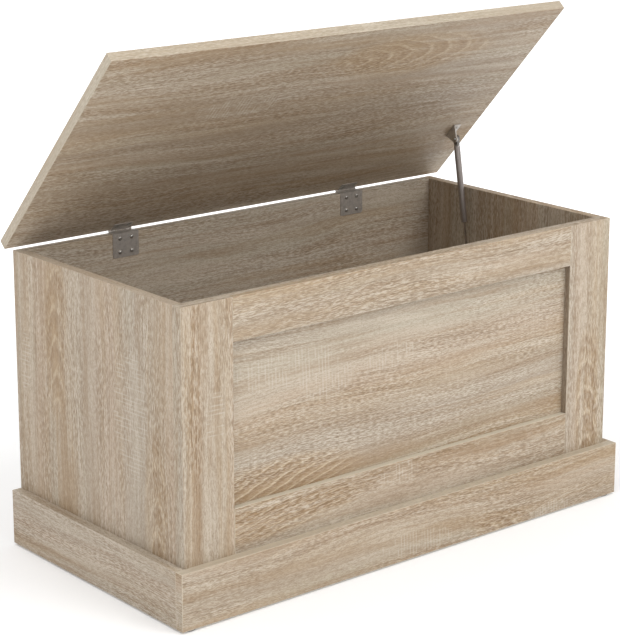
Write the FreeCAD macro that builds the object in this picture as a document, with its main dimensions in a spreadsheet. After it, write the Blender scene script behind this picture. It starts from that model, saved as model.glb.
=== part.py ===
import FreeCAD, Part
import math
import os
import Sketcher

# Toy box with a lift-up lid: a carcass of coated boards on a plinth, a framed
# front, a one-board lid on two small steel hinges and one gas strut.
#
# Millimetres. +X is to the right, +Y to the back, +Z up. The origin is on the
# floor under the centre of the plinth's footprint. The lid stands open at the
# angle at which the strut is at its full length.

V = FreeCAD.Vector
doc = FreeCAD.newDocument("ToyBox")

# ---------------------------------------------------------------- dimensions

SIZES = [
    # alias, value, what it is
    ("whole_wide", 840, "plinth and lid width"),
    ("whole_deep", 420, "plinth depth"),
    ("board", 15, "thickness of walls, bottom, plinth and lid"),
    ("glide_high", 3, "height of the floor glides"),
    ("glide_radius", 9.5, "radius of the floor glides"),
    ("glide_side", 402, "glides from the middle, sideways"),
    ("glide_end", 199, "glides from the middle, front and back"),
    ("plinth_high", 82, "height of the plinth boards"),
    ("wall_high", 442, "height of the walls"),
    ("front_base", 9, "thickness of the recessed front panel"),
    ("front_frame", 10, "thickness of the stiles and rails"),
    ("stile_wide", 85, "width of the front stiles"),
    ("top_rail_high", 62, "height of the front top rail"),
    ("bottom_rail_high", 147, "height of the front bottom rail"),
    ("bottom_low", 45, "underside of the bottom panel above the walls' lower edge"),
    ("bottom_play", 0.5, "gap round the bottom panel"),
    ("cleat", 20, "section of the cleats under the bottom panel"),
    ("lid_long", 413, "depth of the lid board"),
    ("lid_gap", 2, "gap between the walls and the closed lid"),
    ("lid_angle", 47.2, "angle of the open lid, degrees"),
    ("pivot_back", 209.6, "hinge axis, from the middle to the back"),
    ("pivot_rise", 2.3, "hinge axis above the walls"),
    ("pivot_edge", 2.2, "hinge axis behind the lid's rear edge"),
    ("hinge_side", 220, "hinge centres from the middle"),
    ("leaf", 0.9, "hinge sheet thickness"),
    ("leaf_wide", 46, "width of the hinge's back leaf"),
    ("leaf_tall", 36, "height of the hinge's back leaf"),
    ("lid_leaf_wide", 34, "width of the hinge's lid leaf"),
    ("lid_leaf_long", 14, "length of the hinge's lid leaf"),
    ("knuckle", 2.0, "outer radius of the hinge knuckles"),
    ("knuckle_inner", 9.7, "half length of the middle knuckle"),
    ("knuckle_start", 10, "where the outer knuckles start"),
    ("knuckle_end", 20, "where the outer knuckles end"),
    ("pin", 1.1, "radius of the hinge pin"),
    ("pin_play", 0.05, "radial play of pins, rod and balls"),
    ("leaf_screw_side", 10.5, "hinge screws from the hinge centre"),
    ("leaf_screw_high", 7, "upper screw row below the walls' top"),
    ("leaf_screw_low", 28, "lower screw row below the walls' top"),
    ("lid_screw_in", 8.7, "lid leaf screws from the lid's rear edge"),
    ("small_shank", 1.6, "shank radius of the small screws"),
    ("small_head", 3.1, "head radius of the small screws"),
    ("small_long", 11, "length of the small screws"),
    ("screw_play", 0.05, "radial play of screws, dowels and bolts"),
    ("long_shank", 2.0, "shank radius of the long screws"),
    ("long_head", 3.8, "head radius of the long screws"),
    ("cleat_screw_long", 28, "length of the cleat screws"),
    ("plinth_screw_long", 27, "length of the plinth screws"),
    ("plinth_screw_rise", 13, "plinth screws above the walls' lower edge"),
    ("dowel", 4.0, "dowel radius"),
    ("dowel_short", 11, "dowel and bolt depth in the face of a board"),
    ("dowel_long", 19, "dowel depth in the edge of a board"),
    ("cam_radius", 7.4, "cam lock radius"),
    ("cam_deep", 12, "cam lock height"),
    ("cam_in", 34, "cam centre from the board's edge"),
    ("bolt_shank", 3.4, "radius of the cam bolt's shaft"),
    ("bolt_thread", 3.0, "radius of the cam bolt's thread"),
    ("joint_low", 97, "lower dowel above the walls' lower edge"),
    ("joint_cam_low", 127, "lower cam above the walls' lower edge"),
    ("joint_cam_high", 297, "upper cam above the walls' lower edge"),
    ("joint_high", 397, "upper dowel above the walls' lower edge"),
    ("strut_side", 374, "strut's plane from the middle"),
    ("strut_lid_in", 119.7, "lid rivet from the lid's rear edge"),
    ("strut_lid_down", 16.3, "lid rivet below the lid"),
    ("strut_wall_back", 72.5, "wall ball from the middle to the back"),
    ("strut_wall_high", 268.9, "wall ball above the floor"),
    ("strut_top", 11, "cylinder's top below the lid rivet"),
    ("tube_long", 125, "length of the cylinder"),
    ("tube_radius", 5.0, "outer radius of the cylinder"),
    ("tube_bore", 4.2, "bore radius of the cylinder"),
    ("rod_radius", 2.0, "rod radius"),
    ("rod_guide", 10, "length of the rod guide"),
    ("piston_long", 6, "piston length"),
    ("eye", 6.0, "outer radius of the strut's upper eye"),
    ("eye_half", 2.5, "half thickness of the upper eye"),
    ("rivet_head", 3.8, "head radius of the lid rivet"),
    ("tab_gap", 0.1, "gap between the eye and the bracket's tab"),
    ("bracket_in", 137, "lid bracket's front end from the lid's rear edge"),
    ("bracket_long", 29, "length of the lid bracket"),
    ("bracket_wide", 15, "width of the lid bracket"),
    ("ball", 4.0, "radius of the lower ball"),
    ("stud", 2.2, "radius of the rivet and the wall stud"),
    ("socket", 6.5, "outer radius of the lower ball socket"),
    ("socket_half", 4.5, "half width of the lower ball socket"),
    ("lower_neck", 17, "height of the lower socket's neck"),
    ("bracket", 2, "thickness of the strut brackets"),
]

sheet = doc.addObject("Spreadsheet::Sheet", "Sizes")
for row, (alias, value, what) in enumerate(SIZES, 1):
    sheet.set("A%d" % row, what)
    sheet.set("B%d" % row, str(value))
    sheet.setAlias("B%d" % row, alias)
doc.recompute()


class Dim:
    """A length that keeps both its number and the formula over the sheet's cells."""

    def __init__(self, value, text):
        self.value = float(value)
        self.text = text

    @staticmethod
    def of(other):
        return other if isinstance(other, Dim) else Dim(other, "(%.6f)" % other)

    def __add__(self, other):
        o = Dim.of(other)
        return Dim(self.value + o.value, "(%s + %s)" % (self.text, o.text))

    def __radd__(self, other):
        return Dim.of(other) + self

    def __sub__(self, other):
        o = Dim.of(other)
        return Dim(self.value - o.value, "(%s - %s)" % (self.text, o.text))

    def __rsub__(self, other):
        return Dim.of(other) - self

    def __mul__(self, other):
        o = Dim.of(other)
        return Dim(self.value * o.value, "(%s * %s)" % (self.text, o.text))

    def __rmul__(self, other):
        return Dim.of(other) * self

    def __truediv__(self, other):
        o = Dim.of(other)
        return Dim(self.value / o.value, "(%s / %s)" % (self.text, o.text))

    def __neg__(self):
        return Dim(-self.value, "(0 - %s)" % self.text)


def d(alias):
    return Dim(sheet.get(alias), "Sizes." + alias)


def num(x):
    return Dim.of(x).value


# ------------------------------------------------------------------- helpers

PARTS = []  # the sub-parts that are written, in order


def keep(obj, label):
    obj.Label = label
    PARTS.append(obj)
    return obj


def bind(obj, prop, x):
    if isinstance(x, Dim):
        obj.setExpression(prop, x.text)


def put(obj, at, rotation=None):
    """Sets a placement and ties its three coordinates to the sheet."""
    obj.Placement = FreeCAD.Placement(
        V(num(at[0]), num(at[1]), num(at[2])), rotation or FreeCAD.Rotation()
    )
    for axis, x in zip("xyz", at):
        bind(obj, "Placement.Base." + axis, x)


def plane(body, role):
    return [o for o in body.Origin.OriginFeatures if o.Role == role][0]


def polygon(body, name, role, points):
    """A closed outline on one of the body's own planes, each corner bound to the sheet."""
    sk = body.newObject("Sketcher::SketchObject", name)
    sk.AttachmentSupport = [(plane(body, role), "")]
    sk.MapMode = "FlatFace"
    flat = [V(num(x), num(y), 0) for x, y in points]
    n = len(flat)
    for i in range(n):
        sk.addGeometry(Part.LineSegment(flat[i], flat[(i + 1) % n]), False)
    for i in range(n):
        sk.addConstraint(Sketcher.Constraint("Coincident", i, 2, (i + 1) % n, 1))
    for i, (x, y) in enumerate(points):
        for kind, value, tag in (("DistanceX", x, "x"), ("DistanceY", y, "y")):
            if abs(num(value)) < 1e-9:
                sk.addConstraint(
                    Sketcher.Constraint(
                        "PointOnObject", i, 1, -2 if kind == "DistanceX" else -1
                    )
                )
                continue
            c = sk.addConstraint(Sketcher.Constraint(kind, -1, 1, i, 1, num(value)))
            label = "corner%d%s" % (i, tag)
            sk.renameConstraint(c, label)
            bind(sk, "Constraints." + label, value)
    return sk


def new_body(name):
    return doc.addObject("PartDesign::Body", name)


def pad(body, sk, length):
    p = body.newObject("PartDesign::Pad", sk.Name + "_pad")
    p.Profile = sk
    p.Length = num(length)
    bind(p, "Length", length)
    doc.recompute()
    return p


def board(label, lo, hi):
    """A flat board from its lowest to its highest corner."""
    b = new_body(label + "_body")
    wide, deep, high = hi[0] - lo[0], hi[1] - lo[1], hi[2] - lo[2]
    sk = polygon(
        b, label + "_outline", "XY_Plane", [(0, 0), (wide, 0), (wide, deep), (0, deep)]
    )
    pad(b, sk, high)
    put(b, lo)
    return keep(b, label)


TURN = {
    "+X": FreeCAD.Rotation(V(0, 1, 0), 90),
    "-X": FreeCAD.Rotation(V(0, 1, 0), -90),
    "+Y": FreeCAD.Rotation(V(1, 0, 0), -90),
    "-Y": FreeCAD.Rotation(V(1, 0, 0), 90),
    "+Z": FreeCAD.Rotation(),
    "-Z": FreeCAD.Rotation(V(1, 0, 0), 180),
}


def solid_of(body, kind, at, way="+Z", **sizes):
    """Adds or cuts a primitive in the body's own frame."""
    f = body.newObject("PartDesign::" + kind, "%s_%s" % (body.Name, kind))
    for prop, x in sizes.items():
        setattr(f, prop, num(x))
        bind(f, prop, x)
    put(f, at, TURN[way])
    return f


def drill(body, lo, holes):
    """Cuts round holes. Each is (x, y, z, way, radius, depth), with x, y, z in the
    object's frame at the mouth of the hole, and way the direction of the drill."""
    doc.recompute()
    before = body.Shape.Volume
    want = 0.0
    for x, y, z, way, radius, depth in holes:
        # the drill starts a little outside the face
        step = {"X": (1, 0, 0), "Y": (0, 1, 0), "Z": (0, 0, 1)}[way[1]]
        back = -1 if way[0] == "+" else 1
        at = [Dim.of(c) - Dim.of(l) + back * s for c, l, s in zip((x, y, z), lo, step)]
        solid_of(
            body,
            "SubtractiveCylinder",
            at,
            way,
            Radius=radius,
            Height=Dim.of(depth) + 1,
        )
        want += math.pi * num(radius) ** 2 * num(depth)
    doc.recompute()
    got = before - body.Shape.Volume
    print("%-24s drilled %.0f of %.0f mm3" % (body.Label, got, want))
    if not (0.55 * want < got < 1.02 * want):
        raise ValueError("holes of %s did not cut as meant" % body.Label)


def turned(name, points):
    """A turned piece: an outline of (radius, height) spun about the body's Z axis."""
    b = new_body(name)
    sk = polygon(b, name + "_profile", "XZ_Plane", points)
    r = b.newObject("PartDesign::Revolution", name + "_turn")
    r.Profile = sk
    r.ReferenceAxis = (sk, ["V_Axis"])
    r.Angle = 360
    doc.recompute()
    return b


def copies(label, master, places):
    """One node of identical pieces: each place is (x, y, z, rotation)."""
    links = []
    for i, (x, y, z, rotation) in enumerate(places):
        link = doc.addObject("App::Link", "%s_%d" % (label, i + 1))
        link.LinkedObject = master
        put(link, (x, y, z), rotation)
        links.append(link)
    group = doc.addObject("Part::Compound", label + "_set")
    group.Links = links
    doc.recompute()
    if len(group.Shape.Solids) != len(places):
        raise ValueError("%s has %d solids" % (label, len(group.Shape.Solids)))
    return keep(group, label)


def along(*axis):
    return FreeCAD.Rotation(V(0, 0, 1), V(*axis))


def round_edges(body, name, radius, chosen):
    doc.recompute()
    tip = body.Tip
    names = [
        "Edge%d" % (i + 1) for i, e in enumerate(tip.Shape.Edges) if chosen(e)
    ]
    if not names:
        raise ValueError("no edges for " + name)
    f = body.newObject("PartDesign::Fillet", name)
    f.Base = (tip, names)
    f.Radius = num(radius)
    bind(f, "Radius", radius)
    doc.recompute()
    return f


def runs(edge, axis):
    """Whether an edge is a straight line along an axis."""
    if edge.Curve.TypeId != "Part::GeomLine":
        return False
    a, b = edge.Vertexes[0].Point, edge.Vertexes[-1].Point
    return abs((b - a).normalize().dot(V(*axis))) > 0.999


# ------------------------------------------------------------- main positions

half = d("whole_wide") / 2  # outside of the plinth, and of the lid
deep = d("whole_deep") / 2
t = d("board")
foot = d("glide_high")  # lower edge of every wall
top = foot + d("wall_high")  # top of the walls
outer = half - t  # outside of the side walls
inner = outer - t  # inside of the side walls
front = -(deep - t)  # front plane of the frame
frame_back = front + d("front_frame")  # front of the recessed panel
front_in = frame_back + d("front_base")  # inside of the front
back_out = deep
back_in = deep - t  # inside of the back wall
plinth_top = foot + d("plinth_high")

play = d("screw_play")
low_dowel, low_cam = foot + d("joint_low"), foot + d("joint_cam_low")
high_cam, high_dowel = foot + d("joint_cam_high"), foot + d("joint_high")
mid_side = outer - t / 2  # middle of a side wall's thickness
mid_back = back_out - t / 2  # middle of the back wall's thickness
cam_front = front_in + d("cam_in")
cam_back = inner - d("cam_in")
pocket = d("cam_radius") + 0.1
channel = d("bolt_shank") + 0.2
thread = d("bolt_thread") + play
dowel = d("dowel") + play
short = d("dowel_short") + 0.3
long = d("dowel_long") + 0.3
plinth_screw = foot + d("plinth_screw_rise")
cleat_top = foot + d("bottom_low")
cleat_low = cleat_top - d("cleat")
cleat_mid = cleat_top - d("cleat") / 2
long_hole = d("long_shank") + play
small_hole = d("small_shank") + play
# the cleat screws' depth in a wall, and the plinth screws' depth in the plinth
cleat_bite = d("cleat_screw_long") - d("cleat") + 0.3
plinth_bite_front = (
    d("plinth_screw_long") - d("front_base") - d("front_frame") + 0.3
)
plinth_bite_side = d("plinth_screw_long") - t + 0.3

PLINTH_X = [-360, -180, 0, 180, 360]
PLINTH_Y = [-140, 10, 160]
CLEAT_X = [-300, -100, 100, 300]
CLEAT_Y = [-90, 110]

# ---------------------------------------------------------------- side walls

wall_ball = (d("strut_side"), d("strut_wall_back"), d("strut_wall_high"))

for side, label in ((-1, "left_side_panel"), (1, "right_side_panel")):
    out = "-X" if side < 0 else "+X"
    x_lo = -outer if side < 0 else inner
    x_hi = -inner if side < 0 else outer
    face = side * inner
    lo = (x_lo, front_in, foot)
    panel = board(label, lo, (x_hi, back_out, top))
    holes = [
        (side * mid_side, front_in, low_cam, "+Y", channel, d("cam_in")),
        (side * mid_side, front_in, high_cam, "+Y", channel, d("cam_in")),
        (side * mid_side, front_in, low_dowel, "+Y", dowel, long),
        (side * mid_side, front_in, high_dowel, "+Y", dowel, long),
        (face, cam_front, low_cam, out, pocket, d("cam_deep") + 0.3),
        (face, cam_front, high_cam, out, pocket, d("cam_deep") + 0.3),
        (face, mid_back, low_cam, out, thread, short),
        (face, mid_back, high_cam, out, thread, short),
        (face, mid_back, low_dowel, out, dowel, short),
        (face, mid_back, high_dowel, out, dowel, short),
        (side * d("glide_side"), d("glide_end"), foot, "+Z", 1.3, 13),
    ]
    holes += [(face, y, plinth_screw, out, long_hole, t) for y in PLINTH_Y]
    holes += [(face, y, cleat_mid, out, long_hole, cleat_bite) for y in CLEAT_Y]
    if side > 0:
        holes += [
            (face, wall_ball[1], wall_ball[2] + dz, out, small_hole, d("small_long"))
            for dz in (-17, 17)
        ]
    drill(panel, lo, holes)

# ------------------------------------------------------------------ back wall

hinge_x = [s * d("hinge_side") for s in (-1, 1)]
screw_rows = (top - d("leaf_screw_high"), top - d("leaf_screw_low"))

lo = (-inner, back_in, foot)
panel = board("back_panel", lo, (inner, back_out, top))
holes = []
for side in (-1, 1):
    end, into = side * inner, "+X" if side < 0 else "-X"
    holes += [
        (end, mid_back, low_cam, into, channel, d("cam_in")),
        (end, mid_back, high_cam, into, channel, d("cam_in")),
        (end, mid_back, low_dowel, into, dowel, long),
        (end, mid_back, high_dowel, into, dowel, long),
        (side * cam_back, back_in, low_cam, "+Y", pocket, d("cam_deep") + 0.3),
        (side * cam_back, back_in, high_cam, "+Y", pocket, d("cam_deep") + 0.3),
    ]
for x in hinge_x:
    for s in (-1, 1):
        for z in screw_rows:
            holes.append(
                (
                    x + s * d("leaf_screw_side"),
                    back_in,
                    z,
                    "+Y",
                    small_hole,
                    d("small_long"),
                )
            )
holes += [(x, back_in, cleat_mid, "+Y", long_hole, cleat_bite) for x in CLEAT_X]
drill(panel, lo, holes)

# ---------------------------------------------------------------------- front

lo = (-outer, frame_back, foot)
panel = board("front_panel", lo, (outer, front_in, top))
holes = []
for side in (-1, 1):
    for z, r in (
        (low_cam, thread),
        (high_cam, thread),
        (low_dowel, dowel),
        (high_dowel, dowel),
    ):
        holes.append((side * mid_side, front_in, z, "-Y", r, d("front_base")))
holes += [
    (x, front_in, plinth_screw, "-Y", long_hole, d("front_base")) for x in PLINTH_X
]
holes += [(x, front_in, cleat_mid, "-Y", long_hole, cleat_bite) for x in CLEAT_X]
drill(panel, lo, holes)

for side, label in ((-1, "front_left_stile"), (1, "front_right_stile")):
    x_lo = -outer if side < 0 else outer - d("stile_wide")
    x_hi = -outer + d("stile_wide") if side < 0 else outer
    lo = (x_lo, front, foot)
    stile = board(label, lo, (x_hi, frame_back, top))
    tip = short - d("front_base")
    holes = [
        (side * mid_side, frame_back, low_cam, "-Y", thread, tip),
        (side * mid_side, frame_back, high_cam, "-Y", thread, tip),
        (side * mid_side, frame_back, low_dowel, "-Y", dowel, tip),
        (side * mid_side, frame_back, high_dowel, "-Y", dowel, tip),
        (side * 360, frame_back, plinth_screw, "-Y", long_hole, d("front_frame")),
    ]
    drill(stile, lo, holes)

rail_end = outer - d("stile_wide")
board(
    "front_top_rail",
    (-rail_end, front, top - d("top_rail_high")),
    (rail_end, frame_back, top),
)
lo = (-rail_end, front, foot)
rail = board(
    "front_bottom_rail", lo, (rail_end, frame_back, foot + d("bottom_rail_high"))
)
drill(
    rail,
    lo,
    [
        (x, frame_back, plinth_screw, "-Y", long_hole, d("front_frame"))
        for x in PLINTH_X[1:-1]
    ],
)

# --------------------------------------------------------------------- plinth

lo = (-half, -deep, foot)
plinth = board("plinth_front_board", lo, (half, front, plinth_top))
drill(
    plinth,
    lo,
    [(x, front, plinth_screw, "-Y", long_hole, plinth_bite_front) for x in PLINTH_X]
    + [(s * d("glide_side"), -d("glide_end"), foot, "+Z", 1.3, 13) for s in (-1, 1)],
)
for side, label in ((-1, "plinth_left_board"), (1, "plinth_right_board")):
    out = "-X" if side < 0 else "+X"
    x_lo = -half if side < 0 else outer
    x_hi = -outer if side < 0 else half
    lo = (x_lo, front, foot)
    plinth = board(label, lo, (x_hi, back_out, plinth_top))
    drill(
        plinth,
        lo,
        [
            (side * outer, y, plinth_screw, out, long_hole, plinth_bite_side)
            for y in PLINTH_Y
        ],
    )

# ------------------------------------------------------- bottom and its cleats

gap = d("bottom_play")
board(
    "bottom_panel",
    (-inner + gap, front_in + gap, cleat_top),
    (inner - gap, back_in - gap, cleat_top + t),
)

c = d("cleat")
for label, lo, hi, holes in (
    (
        "front_cleat",
        (-inner, front_in, cleat_low),
        (inner, front_in + c, cleat_top),
        [(x, front_in + c, cleat_mid, "-Y", long_hole, c) for x in CLEAT_X],
    ),
    (
        "rear_cleat",
        (-inner, back_in - c, cleat_low),
        (inner, back_in, cleat_top),
        [(x, back_in - c, cleat_mid, "+Y", long_hole, c) for x in CLEAT_X],
    ),
    (
        "left_cleat",
        (-inner, front_in + c, cleat_low),
        (-inner + c, back_in - c, cleat_top),
        [(-inner + c, y, cleat_mid, "-X", long_hole, c) for y in CLEAT_Y],
    ),
    (
        "right_cleat",
        (inner - c, front_in + c, cleat_low),
        (inner, back_in - c, cleat_top),
        [(inner - c, y, cleat_mid, "+X", long_hole, c) for y in CLEAT_Y],
    ),
):
    cleat = board(label, lo, hi)
    drill(cleat, lo, holes)

# ------------------------------------------------------------------ fasteners

# Round-head screws: the head stands on the face at height 0, the shank goes down.


def round_screw(name, head, shank, length, rise):
    h, s, n = d(head), d(shank), d(length)
    return turned(
        name,
        [
            (0, -n),
            (s * 0.45, -n),
            (s, -n + 3),
            (s, 0),
            (h, 0),
            (h, rise * 0.35),
            (h * 0.86, rise * 0.72),
            (h * 0.5, rise),
            (h * 0.22, rise),
            (h * 0.22, rise * 0.35),
            (0, rise * 0.35),
        ],
    )


small_screw = round_screw("small_screw", "small_head", "small_shank", "small_long", 1.6)
cleat_screw = round_screw(
    "cleat_screw", "long_head", "long_shank", "cleat_screw_long", 2.2
)
plinth_screw_one = round_screw(
    "plinth_screw", "long_head", "long_shank", "plinth_screw_long", 2.2
)

copies(
    "cleat_screws",
    cleat_screw,
    [(x, front_in + c, cleat_mid, along(0, 1, 0)) for x in CLEAT_X]
    + [(x, back_in - c, cleat_mid, along(0, -1, 0)) for x in CLEAT_X]
    + [(-inner + c, y, cleat_mid, along(1, 0, 0)) for y in CLEAT_Y]
    + [(inner - c, y, cleat_mid, along(-1, 0, 0)) for y in CLEAT_Y],
)
copies(
    "plinth_screws",
    plinth_screw_one,
    [(x, front_in, plinth_screw, along(0, 1, 0)) for x in PLINTH_X]
    + [(-inner, y, plinth_screw, along(1, 0, 0)) for y in PLINTH_Y]
    + [(inner, y, plinth_screw, along(-1, 0, 0)) for y in PLINTH_Y],
)

# Dowels: the short end is in the face of one board, the long end in the other's edge.
r, a, b = d("dowel"), d("dowel_short"), d("dowel_long")
dowel_one = turned(
    "dowel",
    [(0, -a), (r - 0.8, -a), (r, -a + 0.8), (r, b - 0.8), (r - 0.8, b), (0, b)],
)
corner_heights = (low_dowel, high_dowel)
copies(
    "wood_dowels",
    dowel_one,
    [
        (s * mid_side, front_in, z, along(0, 1, 0))
        for s in (-1, 1)
        for z in corner_heights
    ]
    + [(s * inner, mid_back, z, along(-s, 0, 0)) for s in (-1, 1) for z in corner_heights],
)

# Cam bolts: a threaded end in the face of one board, a shaft through the other's
# edge, then a neck and a head inside the cam.
th, sh = d("bolt_thread"), d("bolt_shank")
bolt_one = turned(
    "cam_bolt",
    [
        (0, -a),
        (th - 0.8, -a),
        (th, -a + 1.5),
        (th, 0),
        (sh, 0),
        (sh, 25.5),
        (2.2, 26),
        (2.2, 32),
        (3.2, 32.6),
        (3.2, 35.4),
        (2.6, 36),
        (0, 36),
    ],
)
cam_heights = (low_cam, high_cam)
copies(
    "cam_bolts",
    bolt_one,
    [(s * mid_side, front_in, z, along(0, 1, 0)) for s in (-1, 1) for z in cam_heights]
    + [(s * inner, mid_back, z, along(-s, 0, 0)) for s in (-1, 1) for z in cam_heights],
)

# Cam locks: a disc with a radial hole for the bolt and a cross slot in its face.
cam_one = new_body("cam_lock")
solid_of(
    cam_one,
    "AdditiveCylinder",
    (0, 0, -d("cam_deep")),
    "+Z",
    Radius=d("cam_radius"),
    Height=d("cam_deep"),
)
solid_of(
    cam_one,
    "SubtractiveCylinder",
    (-9, 0, -t / 2),
    "+X",
    Radius=3.5,
    Height=12.5,
)
solid_of(
    cam_one, "SubtractiveBox", (-4, -0.7, -2), "+Z", Length=8, Width=1.4, Height=3
)
solid_of(
    cam_one, "SubtractiveBox", (-0.7, -4, -2), "+Z", Length=1.4, Width=8, Height=3
)
doc.recompute()


def facing(normal, bolt):
    n, b = V(*normal), V(*bolt)
    return FreeCAD.Rotation(b, n.cross(b), n, "ZXY")


copies(
    "cam_locks",
    cam_one,
    [
        (s * inner, cam_front, z, facing((-s, 0, 0), (0, 1, 0)))
        for s in (-1, 1)
        for z in cam_heights
    ]
    + [
        (s * cam_back, back_in, z, facing((0, -1, 0), (-s, 0, 0)))
        for s in (-1, 1)
        for z in cam_heights
    ],
)

# Floor glides: a low disc with a nail that goes up into the board.
g, gr = d("glide_high"), d("glide_radius")
glide_one = turned(
    "glide",
    [
        (0, 0),
        (gr - 0.8, 0),
        (gr, 0.8),
        (gr, g),
        (1.25, g),
        (1.25, g + 10.5),
        (0, g + 12.5),
    ],
)
copies(
    "floor_glides",
    glide_one,
    [
        (s * d("glide_side"), e * d("glide_end"), Dim(0, "(0.0)"), along(0, 0, 1))
        for s in (-1, 1)
        for e in (-1, 1)
    ],
)

# --------------------------------------------------------------------- hinges

# Back leaf: a plate on the inner face of the back wall, folded over the wall's top
# edge, with two knuckles at the hinge axis. Lid leaf: a plate under the lid with the
# middle knuckle. In the closed position the two plates lie just clear of each other.

lf = d("leaf")
py = d("pivot_back")
pz = top + d("pivot_rise")
kr = d("knuckle")
k0, k1, k2 = d("knuckle_inner"), d("knuckle_start"), d("knuckle_end")
bore = d("pin") + d("pin_play")
lid_under = top + d("lid_gap")
lid_rear = py - d("pivot_edge")  # rear edge of the closed lid
plate_back = py - kr - 0.3  # both plates stop here beside the other leaf's knuckles
plate_front = back_in - lf

for s, x in zip(("left", "right"), hinge_x):
    leaf = new_body(s + "_back_leaf_body")
    w = d("leaf_wide")
    sk = polygon(
        leaf,
        s + "_back_leaf_section",
        "YZ_Plane",
        [
            (plate_front - py, top - d("leaf_tall") - pz),
            (back_in - py, top - d("leaf_tall") - pz),
            (back_in - py, top - pz),
            (plate_back - py, top - pz),
            (plate_back - py, top + lf - pz),
            (plate_front - py, top + lf - pz),
        ],
    )
    pad(leaf, sk, w)
    for a0 in (-k2, k1):
        solid_of(
            leaf,
            "AdditiveBox",
            (a0 + w / 2, plate_back - py - 1, top - pz),
            "+Z",
            Length=k2 - k1,
            Width=py - plate_back + 1,
            Height=lf,
        )
        solid_of(
            leaf,
            "AdditiveCylinder",
            (a0 + w / 2, 0, 0),
            "+X",
            Radius=kr,
            Height=k2 - k1,
        )
    solid_of(leaf, "SubtractiveCylinder", (-1, 0, 0), "+X", Radius=bore, Height=w + 2)
    for e in (-1, 1):
        for z in screw_rows:
            solid_of(
                leaf,
                "SubtractiveCylinder",
                (w / 2 + e * d("leaf_screw_side"), plate_front - py - 1, z - pz),
                "+Y",
                Radius=small_hole,
                Height=lf + 2,
            )
    low = num(top - d("leaf_tall") - pz)
    round_edges(
        leaf,
        s + "_back_leaf_corners",
        3,
        lambda e: runs(e, (0, 1, 0)) and abs(e.Vertexes[0].Point.z - low) < 0.01,
    )
    put(leaf, (x - w / 2, py, pz))
    keep(leaf, s + "_hinge_back_leaf")

    pin = turned(
        s + "_pin_body",
        [
            (0, -k2 - 0.5),
            (1.3, -k2 - 0.5),
            (1.7, -k2 - 0.25),
            (1.7, -k2),
            (d("pin"), -k2),
            (d("pin"), k2),
            (1.7, k2),
            (1.7, k2 + 0.25),
            (1.3, k2 + 0.5),
            (0, k2 + 0.5),
        ],
    )
    put(pin, (x, py, pz), along(1, 0, 0))
    keep(pin, s + "_hinge_pin")

copies(
    "hinge_back_screws",
    small_screw,
    [
        (x + e * d("leaf_screw_side"), plate_front, z, along(0, -1, 0))
        for x in hinge_x
        for e in (-1, 1)
        for z in screw_rows
    ],
)

# ------------------------------------------------------------------------ lid

# The lid and everything on it are built closed, then turned open about the hinge axis.

angle = sheet.get("lid_angle")
H = V(0, num(py), num(pz))
opened = FreeCAD.Rotation(V(1, 0, 0), -angle)


def on_lid(obj, at, rotation=None):
    closed = FreeCAD.Placement(
        V(num(at[0]), num(at[1]), num(at[2])), rotation or FreeCAD.Rotation()
    )
    swing = FreeCAD.Placement(H - opened.multVec(H), opened)
    obj.Placement = swing.multiply(closed)


lid_front = lid_rear - d("lid_long")
lid_ball = (d("strut_side"), lid_rear - d("strut_lid_in"), lid_under - d("strut_lid_down"))
bracket_x = d("strut_side") - d("eye_half") - d("tab_gap") - d("bracket")
lid_bracket_screws = [
    (bracket_x + 8.3, lid_rear - d("bracket_in") + e) for e in (6.5, d("bracket_long") - 6.5)
]

lo = (-half, lid_front, lid_under)
lid = board("lid", lo, (half, lid_rear, lid_under + t))
drill(
    lid,
    lo,
    [
        (
            x + e * d("leaf_screw_side"),
            lid_rear - d("lid_screw_in"),
            lid_under,
            "+Z",
            small_hole,
            d("small_long"),
        )
        for x in hinge_x
        for e in (-1, 1)
    ]
    + [(x, y, lid_under, "+Z", small_hole, d("small_long")) for x, y in lid_bracket_screws],
)
for axis in "xyz":
    lid.setExpression("Placement.Base." + axis, None)
on_lid(lid, lo)

csk = d("small_head") - 0.2  # head radius of the countersunk screws
for s, x in zip(("left", "right"), hinge_x):
    w = d("lid_leaf_wide")
    n = d("lid_leaf_long")
    leaf = new_body(s + "_lid_leaf_body")
    y0 = plate_back - n
    sk = polygon(
        leaf,
        s + "_lid_leaf_section",
        "YZ_Plane",
        [
            (y0 - py, lid_under - lf - pz),
            (plate_back - py, lid_under - lf - pz),
            (plate_back - py, lid_under - pz),
            (y0 - py, lid_under - pz),
        ],
    )
    pad(leaf, sk, w)
    solid_of(
        leaf,
        "AdditiveBox",
        (w / 2 - k0, plate_back - py - 1, lid_under - lf - pz),
        "+Z",
        Length=k0 * 2,
        Width=py - plate_back + 1,
        Height=lf,
    )
    solid_of(
        leaf, "AdditiveCylinder", (w / 2 - k0, 0, 0), "+X", Radius=kr, Height=k0 * 2
    )
    solid_of(leaf, "SubtractiveCylinder", (-1, 0, 0), "+X", Radius=bore, Height=w + 2)
    for e in (-1, 1):
        solid_of(
            leaf,
            "SubtractiveCone",
            (
                w / 2 + e * d("leaf_screw_side"),
                lid_rear - d("lid_screw_in") - py,
                lid_under - lf - pz,
            ),
            "+Z",
            Radius1=csk + play,
            Radius2=small_hole,
            Height=lf,
        )
    front_y = num(y0 - py)
    round_edges(
        leaf,
        s + "_lid_leaf_corners",
        2.5,
        lambda e: runs(e, (0, 0, 1)) and abs(e.Vertexes[0].Point.y - front_y) < 0.01,
    )
    on_lid(leaf, (x - w / 2, py, pz))
    keep(leaf, s + "_hinge_lid_leaf")

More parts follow.
